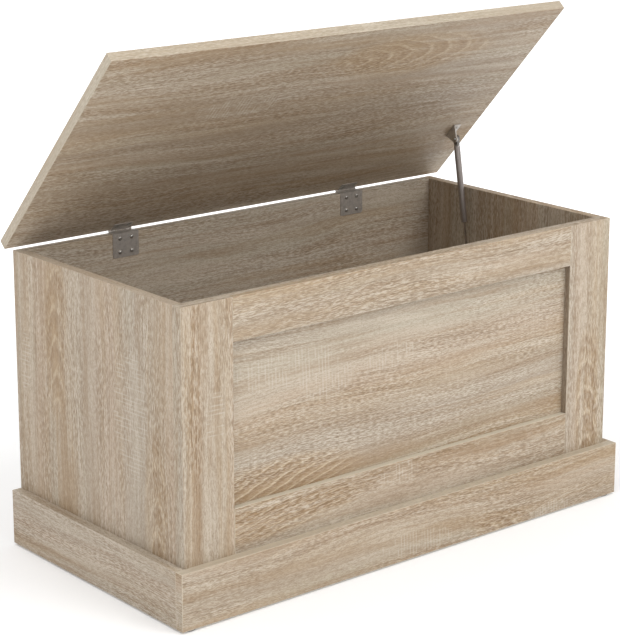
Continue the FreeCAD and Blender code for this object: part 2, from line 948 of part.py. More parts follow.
# Countersunk screws: the head is flush with the leaf at height 0.
ss, sl = d("small_shank"), d("small_long")
flush_screw = turned(
    "flush_screw",
    [
        (0, -sl - lf + 0.3),
        (ss * 0.45, -sl - lf + 0.3),
        (ss, -sl + 2),
        (ss, -lf),
        (csk, 0),
        (0.8, 0),
        (0.5, -0.6),
        (0, -0.6),
    ],
)
screws = copies(
    "hinge_lid_screws",
    flush_screw,
    [
        (
            x + e * d("leaf_screw_side"),
            lid_rear - d("lid_screw_in"),
            lid_under - lf,
            along(0, 0, -1),
        )
        for x in hinge_x
        for e in (-1, 1)
    ],
)
on_lid(screws, (0, 0, 0))

# ------------------------------------------------------- strut bracket on the lid

# An angle plate: a flange under the lid and a tab that narrows down to the rivet.
bt = d("bracket")
bx, by = bracket_x, lid_rear - d("bracket_in")
reach = d("eye")
bracket = new_body("lid_bracket_body")
sk = polygon(
    bracket,
    "lid_bracket_tab",
    "YZ_Plane",
    [
        (Dim.of(0), Dim.of(0)),
        (d("bracket_long"), Dim.of(0)),
        (lid_ball[1] - by + reach, -d("strut_lid_down")),
        (lid_ball[1] - by - reach, -d("strut_lid_down")),
    ],
)
pad(bracket, sk, bt)
solid_of(
    bracket,
    "AdditiveCylinder",
    (0, lid_ball[1] - by, -d("strut_lid_down")),
    "+X",
    Radius=reach,
    Height=bt,
)
solid_of(
    bracket,
    "AdditiveBox",
    (0, 0, -bt),
    "+Z",
    Length=d("bracket_wide"),
    Width=d("bracket_long"),
    Height=bt,
)
solid_of(
    bracket,
    "SubtractiveCylinder",
    (-1, lid_ball[1] - by, -d("strut_lid_down")),
    "+X",
    Radius=d("stud") + play,
    Height=bt + 2,
)
for x, y in lid_bracket_screws:
    solid_of(
        bracket,
        "SubtractiveCylinder",
        (x - bx, y - by, -bt - 1),
        "+Z",
        Radius=small_hole,
        Height=bt + 2,
    )
wide_x = num(d("bracket_wide")) - 0.1
round_edges(
    bracket,
    "lid_bracket_corners",
    3,
    lambda e: runs(e, (0, 0, 1)) and e.Vertexes[0].Point.x > wide_x,
)
on_lid(bracket, (bx, by, lid_under))
keep(bracket, "strut_lid_bracket")

# Rivet: a low head on the tab, the shank through tab and eye, a collar behind the eye.
rivet = new_body("lid_rivet_body")
st = d("stud")
tab_out = d("eye_half") + d("tab_gap") + bt
eye_out = d("eye_half") + d("tab_gap")
solid_of(
    rivet, "AdditiveCylinder", (0, 0, -tab_out), "+Z", Radius=st, Height=tab_out + eye_out
)
solid_of(
    rivet,
    "AdditiveCone",
    (0, 0, -tab_out - 1.4),
    "+Z",
    Radius1=d("rivet_head") - 1.2,
    Radius2=d("rivet_head"),
    Height=1.4,
)
solid_of(
    rivet,
    "AdditiveCylinder",
    (0, 0, eye_out),
    "+Z",
    Radius=d("rivet_head") - 0.3,
    Height=1.2,
)
doc.recompute()
on_lid(rivet, lid_ball, along(1, 0, 0))
keep(rivet, "strut_lid_rivet")

screws = copies(
    "strut_lid_bracket_screws",
    small_screw,
    [(x, y, lid_under - bt, along(0, 0, -1)) for x, y in lid_bracket_screws],
)
on_lid(screws, (0, 0, 0))

# ------------------------------------------------------ strut bracket on the wall

plate = new_body("wall_bracket_body")
pw, ph = 11, 26
sk = polygon(
    plate, "wall_bracket_outline", "YZ_Plane", [(-pw, -ph), (pw, -ph), (pw, ph), (-pw, ph)]
)
pad(plate, sk, bt)
solid_of(
    plate, "SubtractiveCylinder", (-1, 0, 0), "+X", Radius=st + play, Height=bt + 2
)
for dz in (-17, 17):
    solid_of(
        plate, "SubtractiveCylinder", (-1, 0, dz), "+X", Radius=small_hole, Height=bt + 2
    )
round_edges(plate, "wall_bracket_corners", 6, lambda e: runs(e, (1, 0, 0)))
put(plate, (inner - bt, wall_ball[1], wall_ball[2]))
keep(plate, "strut_wall_bracket")

# The wall's stud points to the lower socket and stops just short of it.
reach = inner - d("strut_side") - d("socket_half") - 0.3
stud = new_body("wall_stud_body")
solid_of(stud, "AdditiveCylinder", (0, 0, 0), Radius=st, Height=reach)
solid_of(stud, "AdditiveCylinder", (0, 0, bt), Radius=3.6, Height=1.5)
doc.recompute()
put(stud, (inner, wall_ball[1], wall_ball[2]), along(-1, 0, 0))
keep(stud, "strut_wall_ball_stud")

copies(
    "strut_wall_bracket_screws",
    small_screw,
    [
        (inner - bt, wall_ball[1], wall_ball[2] + dz, along(-1, 0, 0))
        for dz in (-17, 17)
    ],
)

# ------------------------------------------------------------------- gas strut

# The strut runs from the rivet under the lid to the ball on the wall. Its pieces are
# built straight down from the rivet, then turned into that line.
ball_at = opened.multVec(V(num(lid_ball[0]), num(lid_ball[1]), num(lid_ball[2])) - H) + H
wall_at = V(num(wall_ball[0]), num(wall_ball[1]), num(wall_ball[2]))
line = wall_at - ball_at
strut_long = line.Length
lean = math.degrees(math.atan2(line.y, -line.z))
down = FreeCAD.Rotation(V(1, 0, 0), lean)
print("strut: pivots %.2f mm apart, lean %.3f degrees" % (strut_long, lean))
print("lid rivet at", [round(q, 3) for q in ball_at], "wall ball at", [round(q, 3) for q in wall_at])
print("direction", [round(q, 6) for q in line.normalize()])


def on_strut(obj, distance):
    obj.Placement = FreeCAD.Placement(ball_at + down.multVec(V(0, 0, -distance)), down)


tr, tb, tl = d("tube_radius"), d("tube_bore"), d("tube_long")
tube = turned(
    "tube_body",
    [
        (0, 0),
        (tr - 1.6, 0),
        (tr - 0.5, -0.5),
        (tr, -1.8),
        (tr, -tl + 0.5),
        (tr - 0.4, -tl),
        (tb, -tl),
        (tb, -4),
        (0, -4),
    ],
)
on_strut(tube, sheet.get("strut_top"))
keep(tube, "strut_cylinder")

rr = d("rod_radius")
guide = turned(
    "rod_guide_body",
    [
        (rr + d("pin_play"), 0),
        (tb, 0),
        (tb, d("rod_guide")),
        (rr + d("pin_play"), d("rod_guide")),
    ],
)
on_strut(guide, sheet.get("strut_top") + sheet.get("tube_long"))
keep(guide, "strut_rod_guide")

# Upper eye: a flat ring on the rivet, a flat neck and a round foot on the cylinder.
eye = new_body("upper_eye_body")
er, ew = d("eye"), d("eye_half")
solid_of(eye, "AdditiveCylinder", (-ew, 0, 0), "+X", Radius=er, Height=ew * 2)
solid_of(
    eye,
    "AdditiveBox",
    (-ew, -4, -d("strut_top")),
    "+Z",
    Length=ew * 2,
    Width=8,
    Height=d("strut_top"),
)
solid_of(eye, "AdditiveCylinder", (0, 0, -d("strut_top")), "+Z", Radius=3.4, Height=2.5)
solid_of(
    eye, "SubtractiveCylinder", (-ew - 1, 0, 0), "+X", Radius=st + d("pin_play"), Height=ew * 2 + 2
)
doc.recompute()
on_strut(eye, 0)
keep(eye, "strut_upper_eye")

guide_top = sheet.get("strut_top") + sheet.get("tube_long") - sheet.get("rod_guide")
piston_at = guide_top - 1
rod_start = piston_at - sheet.get("piston_long")
rod_end = strut_long - 9
rod = turned(
    "rod_body",
    [
        (0, 0),
        (rr - 0.3, 0),
        (rr, -0.3),
        (rr, -(rod_end - rod_start) + 0.3),
        (rr - 0.3, -(rod_end - rod_start)),
        (0, -(rod_end - rod_start)),
    ],
)
on_strut(rod, rod_start)
keep(rod, "strut_rod")

piston = turned(
    "piston_body",
    [
        (rr + 0.02, 0),
        (tb - d("pin_play") - 0.5, 0),
        (tb - d("pin_play"), 0.5),
        (tb - d("pin_play"), d("piston_long") - 0.5),
        (tb - d("pin_play") - 0.5, d("piston_long")),
        (rr + 0.02, d("piston_long")),
    ],
)
on_strut(piston, piston_at)
keep(piston, "strut_piston")

socket = new_body("lower_socket_body")
sr, sw = d("socket"), d("socket_half")
solid_of(socket, "AdditiveCylinder", (-sw, 0, 0), "+X", Radius=sr, Height=sw * 2)
solid_of(
    socket, "AdditiveCylinder", (0, 0, 4), "+Z", Radius=3.2, Height=d("lower_neck") - 4
)
solid_of(socket, "SubtractiveSphere", (0, 0, 0), Radius=d("ball") + d("pin_play"))
solid_of(socket, "SubtractiveCylinder", (1, 0, 0), "+X", Radius=3.0, Height=sw)
solid_of(
    socket,
    "SubtractiveCylinder",
    (0, 0, 9),
    "+Z",
    Radius=rr + 0.02,
    Height=d("lower_neck"),
)
doc.recompute()
on_strut(socket, strut_long)
keep(socket, "strut_lower_socket")

# ------------------------------------------------------------- checks and files

doc.recompute()
bad = [o.Name for o in doc.Objects if "Invalid" in o.State or "Error" in o.State]
if bad:
    raise ValueError("failed objects: %s" % bad)
labels = [o.Label for o in PARTS]
if len(set(labels)) != len(labels) or len(labels) > 60:
    raise ValueError("labels are not unique, or too many")
for o in PARTS:
    if o.Shape.isNull() or not o.Shape.isValid() or not o.Shape.Solids:
        raise ValueError("no valid shape: " + o.Label)

os.makedirs("parts", exist_ok=True)
for o in PARTS:
    o.Shape.exportStep("parts/%s.step" % o.Label)
    box = o.Shape.BoundBox
    print(
        "%-28s solids %2d volume %10.1f  x %.2f..%.2f  y %.2f..%.2f  z %.2f..%.2f"
        % (
            o.Label,
            len(o.Shape.Solids),
            o.Shape.Volume,
            box.XMin,
            box.XMax,
            box.YMin,
            box.YMax,
            box.ZMin,
            box.ZMax,
        )
    )
print(len(PARTS), "sub-parts")
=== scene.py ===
import math

import bpy
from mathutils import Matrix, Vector


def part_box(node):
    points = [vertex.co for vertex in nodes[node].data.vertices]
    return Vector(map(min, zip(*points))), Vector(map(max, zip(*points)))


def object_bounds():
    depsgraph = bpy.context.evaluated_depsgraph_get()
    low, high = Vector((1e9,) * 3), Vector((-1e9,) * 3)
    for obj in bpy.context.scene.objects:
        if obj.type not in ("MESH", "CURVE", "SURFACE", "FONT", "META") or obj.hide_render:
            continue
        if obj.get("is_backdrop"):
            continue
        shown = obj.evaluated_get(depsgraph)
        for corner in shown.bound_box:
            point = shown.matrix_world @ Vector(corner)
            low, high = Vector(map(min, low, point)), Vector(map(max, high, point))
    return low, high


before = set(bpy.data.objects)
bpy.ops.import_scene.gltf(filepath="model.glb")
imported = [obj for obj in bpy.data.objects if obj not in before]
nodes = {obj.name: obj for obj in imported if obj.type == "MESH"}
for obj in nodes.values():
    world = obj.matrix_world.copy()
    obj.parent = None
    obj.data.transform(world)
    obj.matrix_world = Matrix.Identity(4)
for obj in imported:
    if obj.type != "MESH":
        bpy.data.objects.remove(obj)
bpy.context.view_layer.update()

scene = bpy.context.scene
scene.view_settings.view_transform = "Standard"
scene.view_settings.look = "None"
scene.view_settings.exposure = 0.0
scene.view_settings.gamma = 1.0

# ------------------------------------------------------------------- camera

# Seen from the front left and a little above, with a long lens.
FOCAL_PX = 2121.2
YAW, PITCH = math.radians(39.602656), math.radians(14.039981)
EYE = Vector((-1.954486, -2.329558, 1.172355))
look = Vector(
    (
        math.sin(YAW) * math.cos(PITCH),
        math.cos(YAW) * math.cos(PITCH),
        -math.sin(PITCH),
    )
)
cam_data = bpy.data.cameras.new("camera")
cam_data.sensor_fit = "AUTO"
cam_data.sensor_width = 36.0
cam_data.lens = FOCAL_PX * 36.0 / 640.0
cam_data.shift_x = 0.0
cam_data.shift_y = (256.0 - 320.0) / 640.0
cam_data.dof.use_dof = False
cam_data.clip_start, cam_data.clip_end = 0.05, 100.0
cam = bpy.data.objects.new("camera", cam_data)
cam.location = EYE
cam.rotation_mode = "QUATERNION"
cam.rotation_quaternion = look.to_track_quat("-Z", "Y")
scene.collection.objects.link(cam)
scene.camera = cam

# ------------------------------------------------------------- node building


class Tree:
    """Short names for building a node tree."""

    def __init__(self, name):
        self.mat = bpy.data.materials.new(name)
        self.mat.use_nodes = True
        self.t = self.mat.node_tree
        self.t.nodes.clear()
        self.out = self.t.nodes.new("ShaderNodeOutputMaterial")
        self.bsdf = self.t.nodes.new("ShaderNodeBsdfPrincipled")
        self.t.links.new(self.bsdf.outputs["BSDF"], self.out.inputs["Surface"])

    def put(self, socket, x):
        if isinstance(x, bpy.types.NodeSocket):
            self.t.links.new(x, socket)
        else:
            socket.default_value = x

    def shader(self, **values):
        for name, x in values.items():
            self.put(self.bsdf.inputs[name.replace("_", " ")], x)

    def math(self, op, a, b=None, c=None, clamp=False):
        n = self.t.nodes.new("ShaderNodeMath")
        n.operation, n.use_clamp = op, clamp
        for i, x in enumerate((a, b, c)):
            if x is not None:
                self.put(n.inputs[i], x)
        return n.outputs[0]

    def vec(self, op, a, b=None, scale=None):
        n = self.t.nodes.new("ShaderNodeVectorMath")
        n.operation = op
        self.put(n.inputs[0], a)
        if b is not None:
            self.put(n.inputs[1], b)
        if scale is not None:
            self.put(n.inputs["Scale"], scale)
        return n.outputs[1] if op in ("LENGTH", "DOT_PRODUCT") else n.outputs[0]

    def split(self, v):
        n = self.t.nodes.new("ShaderNodeSeparateXYZ")
        self.put(n.inputs[0], v)
        return n.outputs[0], n.outputs[1], n.outputs[2]

    def join(self, x, y, z):
        n = self.t.nodes.new("ShaderNodeCombineXYZ")
        for i, q in enumerate((x, y, z)):
            self.put(n.inputs[i], q)
        return n.outputs[0]

    def noise(self, v, scale=1.0, detail=0.0, rough=0.5, distort=0.0, lac=2.0):
        n = self.t.nodes.new("ShaderNodeTexNoise")
        n.noise_dimensions = "3D"
        self.put(n.inputs["Vector"], v)
        n.inputs["Scale"].default_value = scale
        n.inputs["Detail"].default_value = detail
        n.inputs["Roughness"].default_value = rough
        n.inputs["Lacunarity"].default_value = lac
        n.inputs["Distortion"].default_value = distort
        return n.outputs["Fac"]

    def cells(self, v, scale=1.0, feature="F1", randomness=1.0):
        n = self.t.nodes.new("ShaderNodeTexVoronoi")
        n.feature = feature
        self.put(n.inputs["Vector"], v)
        n.inputs["Scale"].default_value = scale
        n.inputs["Randomness"].default_value = randomness
        return n.outputs["Distance"]

    def range(self, x, a, b, c=0.0, d=1.0, smooth=True):
        n = self.t.nodes.new("ShaderNodeMapRange")
        n.interpolation_type = "SMOOTHSTEP" if smooth else "LINEAR"
        n.clamp = True
        for name, q in (
            ("Value", x),
            ("From Min", a),
            ("From Max", b),
            ("To Min", c),
            ("To Max", d),
        ):
            self.put(n.inputs[name], q)
        return n.outputs[0]

    def ramp(self, x, stops, how="LINEAR"):
        n = self.t.nodes.new("ShaderNodeValToRGB")
        n.color_ramp.interpolation = how
        e = n.color_ramp.elements
        while len(e) < len(stops):
            e.new(0.5)
        for q, (at, col) in zip(e, stops):
            q.position = at
            q.color = (*col, 1.0)
        self.put(n.inputs["Fac"], x)
        return n.outputs["Color"]

    def mix(self, fac, a, b, blend="MIX"):
        n = self.t.nodes.new("ShaderNodeMix")
        n.data_type, n.blend_type = "RGBA", blend
        n.clamp_factor = True
        ins = [s for s in n.inputs if s.type == "RGBA"]
        self.put(n.inputs[0], fac)
        for s, q in zip(ins, (a, b)):
            self.put(s, (*q, 1.0) if isinstance(q, tuple) else q)
        return [s for s in n.outputs if s.type == "RGBA"][0]

    def mixv(self, fac, a, b):
        n = self.t.nodes.new("ShaderNodeMix")
        n.data_type = "VECTOR"
        ins = [s for s in n.inputs if s.type == "VECTOR"][-2:]
        self.put(n.inputs[0], fac)
        for s, q in zip(ins, (a, b)):
            self.put(s, q)
        return [s for s in n.outputs if s.type == "VECTOR"][0]

    def coords(self):
        n = self.t.nodes.new("ShaderNodeTexCoord")
        return n.outputs["Object"], n.outputs["Normal"]

    def turn(self, v, centre, angle):
        n = self.t.nodes.new("ShaderNodeVectorRotate")
        n.rotation_type = "X_AXIS"
        self.put(n.inputs["Vector"], v)
        n.inputs["Center"].default_value = centre
        n.inputs["Angle"].default_value = angle
        return n.outputs[0]

    def bump(self, height, strength, distance, normal=None):
        n = self.t.nodes.new("ShaderNodeBump")
        n.inputs["Strength"].default_value = strength
        n.inputs["Distance"].default_value = distance
        self.put(n.inputs["Height"], height)
        if normal is not None:
            self.put(n.inputs["Normal"], normal)
        return n.outputs["Normal"]


def srgb(r, g, b):
    """A colour given as 0 to 255 screen values, as the linear colour a shader takes."""
    return tuple(
        (c / 255.0 / 12.92) if c <= 10 else ((c / 255.0 + 0.055) / 1.055) ** 2.4
        for c in (r, g, b)
    )


# -------------------------------------------------------------- board surface

LID_ANGLE = math.radians(47.2)
HINGE = (0.0, 0.2096, 0.4473)


# Tones of the print, light to dark. BALANCE fits them to the light of the scene.
BALANCE = (0.755, 0.745, 0.735)


def wood(r, g, b):
    return tuple(c * k for c, k in zip(srgb(r, g, b), BALANCE))


PALE = wood(211, 198, 179)
PINK = wood(206, 185, 162)
GREY = wood(194, 181, 163)
GREEN = wood(201, 192, 172)
TAN = wood(191, 166, 133)
BROWN = wood(174, 147, 115)
# the two darker tones below are copies of GREY and TAN used only on the lid: painted shade standing in for the shade
# under the open lid
SHADED_GREY = wood(182, 168, 150)
SHADED_TAN = wood(180, 156, 126)


def oak(
    name,
    grain,
    across,
    lo,
    hi,
    shift,
    bands,
    tilt=0.0,
    rings=(),
    sawn=(),
    turned=False,
    mitred=False,
    figure=1.0,
    shaded_recess_side=0,
    edge_band_and_highlight=0.05,
    edge_wear_and_highlight_amount=0.16,
):
    """Light oak print on a coated board. grain and across are the letters of the axes
    along and across the grain; lo and hi are the board's corners, in metres. bands are
    the tones across the grain, as (metres from the middle, tone). rings are arched ring
    figures: (ring centre along, across, stretch, then the middle and half sizes of the
    place where they show). sawn are patches of saw marks: (along, across, half sizes).
    The recess side, 1 or -1 across the grain, is the edge that borders the sunk panel; that edge is given painted
    shade, a darker band standing in for the shade inside the recess."""
    T = Tree(name)
    where, normal = T.coords()
    if turned:
        where = T.turn(where, HINGE, LID_ANGLE)
        normal = T.turn(normal, (0.0, 0.0, 0.0), LID_ANGLE)
    mid = [(a + b) / 2 for a, b in zip(lo, hi)]
    half = dict(zip("XYZ", [(b - a) / 2 for a, b in zip(lo, hi)]))
    local = T.vec("SUBTRACT", where, mid)
    axis = dict(zip("XYZ", T.split(local)))
    nrm = dict(zip("XYZ", T.split(normal)))
    thick = [c for c in "XYZ" if c not in (grain, across)][0]
    g, a, t = axis[grain], axis[across], axis[thick]

    def add(x, y):
        return T.math("ADD", x, y)

    def mul(x, y):
        return T.math("MULTIPLY", x, y)

    def sub(x, y):
        return T.math("SUBTRACT", x, y)

    # the rear face of a board carries another stretch of the print
    rear = T.range(nrm[thick], 0.5, 0.6, smooth=False)
    g = mul(g, sub(1.0, mul(rear, 2.0)))
    # the end edges carry a strip of the same print along their own length
    end = T.range(T.math("ABSOLUTE", nrm[grain]), 0.6, 0.8)
    flat = T.join(g, a, t)
    strip = T.join(t, a, g) if mitred else T.join(a, t, g)
    here = T.mixv(end, flat, strip)
    p = T.vec("ADD", here, shift)

    def field(scale, offset=(0.0, 0.0, 0.0), **kw):
        v = T.vec("MULTIPLY", q, scale)
        if offset != (0.0, 0.0, 0.0):
            v = T.vec("ADD", v, offset)
        return T.noise(v, **kw)

    # the figure wanders a little across the grain
    wander = T.noise(T.vec("MULTIPLY", p, (2.6, 9.0, 9.0)), detail=1.0)
    ripple = T.noise(T.vec("MULTIPLY", p, (18.0, 46.0, 46.0)), detail=1.0)
    dv = add(mul(sub(wander, 0.5), 0.034), mul(sub(ripple, 0.5), 0.0042))
    q = T.vec("ADD", p, T.join(0.0, dv, 0.0))
    hg, ha, ht = T.split(here)
    va = add(ha, add(mul(dv, 1.0), mul(hg, -tilt)))

    # broad bands of pale, pinkish, greenish and tan wood
    span = half[across] * 1.1
    colour = T.ramp(
        T.range(va, -span, span, smooth=False),
        [((m + span) / (2 * span), tone) for m, tone in bands],
        "B_SPLINE",
    )
    broad = field((1.3, 30.0, 30.0), (1.7, 3.3, 0.9), detail=2.0, rough=0.6)
    colour = T.mix(T.range(broad, 0.52, 0.68, 0.0, 0.62), colour, TAN)
    colour = T.mix(T.range(broad, 0.47, 0.32, 0.0, 0.62), colour, PALE)
    tint = field((2.0, 22.0, 22.0), detail=1.0)
    colour = T.mix(T.range(tint, 0.54, 0.74, 0.0, 0.45), colour, PINK)
    tint2 = field((2.2, 26.0, 26.0), (7.3, 1.9, 4.1), detail=1.0)
    colour = T.mix(T.range(tint2, 0.55, 0.76, 0.0, 0.5), colour, GREEN)

    # growth rings: contour lines of a slow, long field, strong only in places
    rough_line = field((26.0, 190.0, 190.0), detail=1.0)

    def ring_lines(phase):
        f = T.math("FRACT", add(phase, mul(rough_line, 0.36)))
        late = mul(T.range(f, 0.05, 0.60), T.range(f, 0.84, 0.66))
        rim = mul(T.range(f, 0.68, 0.84), T.range(f, 1.0, 0.90))
        return late, rim

    slow = field((1.2, 6.4, 6.4), (3.1, 0.7, 2.2), detail=0.0)
    late, rim = ring_lines(mul(slow, 44.0))
    place = field((1.3, 7.5, 7.5), (11.0, 5.0, 3.0), detail=1.0)
    ringed = T.range(place, 0.56, 0.74, 0.0, 0.45 if rings else 0.75)
    lates = mul(late, add(ringed, 0.16))
    rims = mul(rim, ringed)
    heart = ringed
    for gc, ac, stretch, gm, am, gr, ar in rings:
        x = T.math("DIVIDE", sub(hg, gc), stretch)
        y = sub(va, ac)
        away = T.math("SQRT", add(mul(x, x), mul(y, y)))
        late, rim = ring_lines(T.math("DIVIDE", add(away, mul(sub(slow, 0.5), 0.05)), 0.0082))
        x = T.math("DIVIDE", sub(hg, gm), gr)
        y = T.math("DIVIDE", sub(va, am), ar)
        r2 = add(add(mul(x, x), mul(y, y)), mul(sub(broad, 0.5), 1.2))
        seen = T.range(r2, 1.15, 0.35)
        lates = T.math("MAXIMUM", lates, mul(late, seen))
        rims = T.math("MAXIMUM", rims, mul(rim, seen))
        heart = T.math("MAXIMUM", heart, seen)
    colour = T.mix(mul(heart, 0.68), colour, wood(188, 158, 118))
    colour = T.mix(mul(lates, 0.62 * figure), colour, wood(156, 125, 90))
    colour = T.mix(mul(rims, 0.60 * figure), colour, wood(228, 209, 180))

    # streaks a few millimetres wide and some hundred long
    streak = field((3.8, 84.0, 84.0), detail=2.0, rough=0.55)
    colour = T.mix(T.range(streak, 0.50, 0.70, 0.0, 0.52), colour, wood(166, 138, 105))
    colour = T.mix(T.range(streak, 0.47, 0.31, 0.0, 0.46), colour, wood(220, 208, 189))

    # long fine lines of the grain, denser in some zones
    dense = T.range(
        field((3.0, 26.0, 26.0), (1.1, 9.4, 6.3), detail=1.0), 0.34, 0.62, 0.40, 1.0
    )
    line = field((7.0, 520.0, 520.0), (2.2, 4.4, 6.1), detail=1.0, rough=0.6)
    dark_line = mul(T.range(line, 0.52, 0.66), dense)
    pale_line = mul(T.range(line, 0.47, 0.34), dense)
    colour = T.mix(mul(dark_line, 0.43), colour, wood(143, 117, 88))
    colour = T.mix(mul(pale_line, 0.38), colour, wood(232, 221, 204))

    # open pores along the grain
    pore_a = field((130.0, 900.0, 900.0), detail=0.0)
    pore_b = field((300.0, 1250.0, 1250.0), (5.5, 8.1, 2.7), detail=0.0)
    dark_pore = mul(T.range(pore_a, 0.54, 0.63), dense)
    pale_pore = mul(T.range(pore_a, 0.46, 0.37), dense)
    fine = T.range(pore_b, 0.56, 0.67)
    colour = T.mix(mul(dark_pore, 0.42), colour, wood(130, 106, 80))
    colour = T.mix(mul(pale_pore, 0.37), colour, wood(235, 226, 212))
    colour = T.mix(mul(fine, 0.34), colour, wood(136, 112, 86))

    # saw marks: pale straight lines across the grain in a few patches
    u, v, w = T.split(q)
    wobble = T.noise(T.vec("MULTIPLY", q, (30.0, 4.0, 4.0)), detail=1.0)
    saw = T.math("SINE", add(mul(add(u, mul(v, 0.04)), 1080.0), mul(wobble, 4.0)))
    where_sawn = T.range(
        T.noise(T.vec("ADD", T.vec("MULTIPLY", p, (6.2, 15.0, 15.0)), (2.4, 6.6, 8.8)), detail=1.0),
        0.62,
        0.72,
        0.0,
        0.3,
    )
    for gm, am, gr, ar in sawn:
        x = T.math("DIVIDE", sub(hg, gm), gr)
        y = T.math("DIVIDE", sub(va, am), ar)
        r2 = add(add(mul(x, x), mul(y, y)), mul(sub(tint, 0.5), 1.6))
        where_sawn = T.math("MAXIMUM", where_sawn, T.range(r2, 1.1, 0.5))
    broken = T.range(T.noise(T.vec("MULTIPLY", p, (120.0, 40.0, 40.0)), detail=1.0), 0.38, 0.60)
    marks = mul(mul(T.range(saw, 0.1, 0.9), where_sawn), broken)
    colour = T.mix(mul(where_sawn, 0.16), colour, PALE)
    colour = T.mix(mul(marks, 0.30), colour, wood(233, 226, 213))

    # distance to the nearest edge of the board
    room = [sub(half[c], T.math("ABSOLUTE", axis[c])) for c in "XYZ"]
    low = T.math("MINIMUM", room[0], room[1])
    high = T.math("MAXIMUM", room[0], room[1])
    rim_at = T.math("MAXIMUM", low, T.math("MINIMUM", high, room[2]))
    rub = T.noise(T.vec("MULTIPLY", where, (85.0, 85.0, 85.0)), detail=2.0)
    # a pale band along every outer edge, broken up by noise: partly edge wear, and a painted highlight where its
    # amount is raised on the bottom rail and the plinth's front board
    rim_wear_and_highlight = T.range(sub(rim_at, mul(sub(rub, 0.5), 0.0016)), 0.0013, 0.0003)
    # the banded narrow edges are a shade paler than the faces; where this paleness is raised, on the bottom rail, the
    # plinth's front board and the lid, it is also a painted highlight along their lit edges
    narrow = T.range(T.math("ABSOLUTE", nrm[thick]), 0.5, 0.3)
    if mitred:
        narrow = mul(narrow, sub(1.0, end))
    colour = T.mix(mul(narrow, edge_band_and_highlight), colour, wood(222, 213, 193))
    # painted shade: the edge bordering the sunk panel is darkened to stand in for the shade inside the recess
    if shaded_recess_side:
        recess_shade = T.range(mul(nrm[across], float(shaded_recess_side)), 0.5, 0.8)
        colour = T.mix(mul(recess_shade, 0.55), colour, wood(118, 98, 76))
    colour = T.mix(mul(rim_wear_and_highlight, edge_wear_and_highlight_amount), colour, wood(230, 217, 194))

    # relief and gloss
    relief = sub(
        mul(streak, 0.25), add(mul(dark_pore, 0.75), add(mul(fine, 0.25), mul(lates, 0.10)))
    )
    gloss = add(
        T.range(T.noise(T.vec("MULTIPLY", where, (11.0, 11.0, 11.0)), detail=2.0), 0.3, 0.7, 0.46, 0.56),
        sub(mul(dark_pore, 0.14), mul(rim_wear_and_highlight, 0.06)),
    )
    T.shader(
        Base_Color=colour,
        Roughness=gloss,
        IOR=1.47,
        Normal=T.bump(relief, 0.6, 0.00014),
    )
    return T.mat


def dress(node, mat):
    for slot in nodes[node].material_slots:
        slot.material = mat


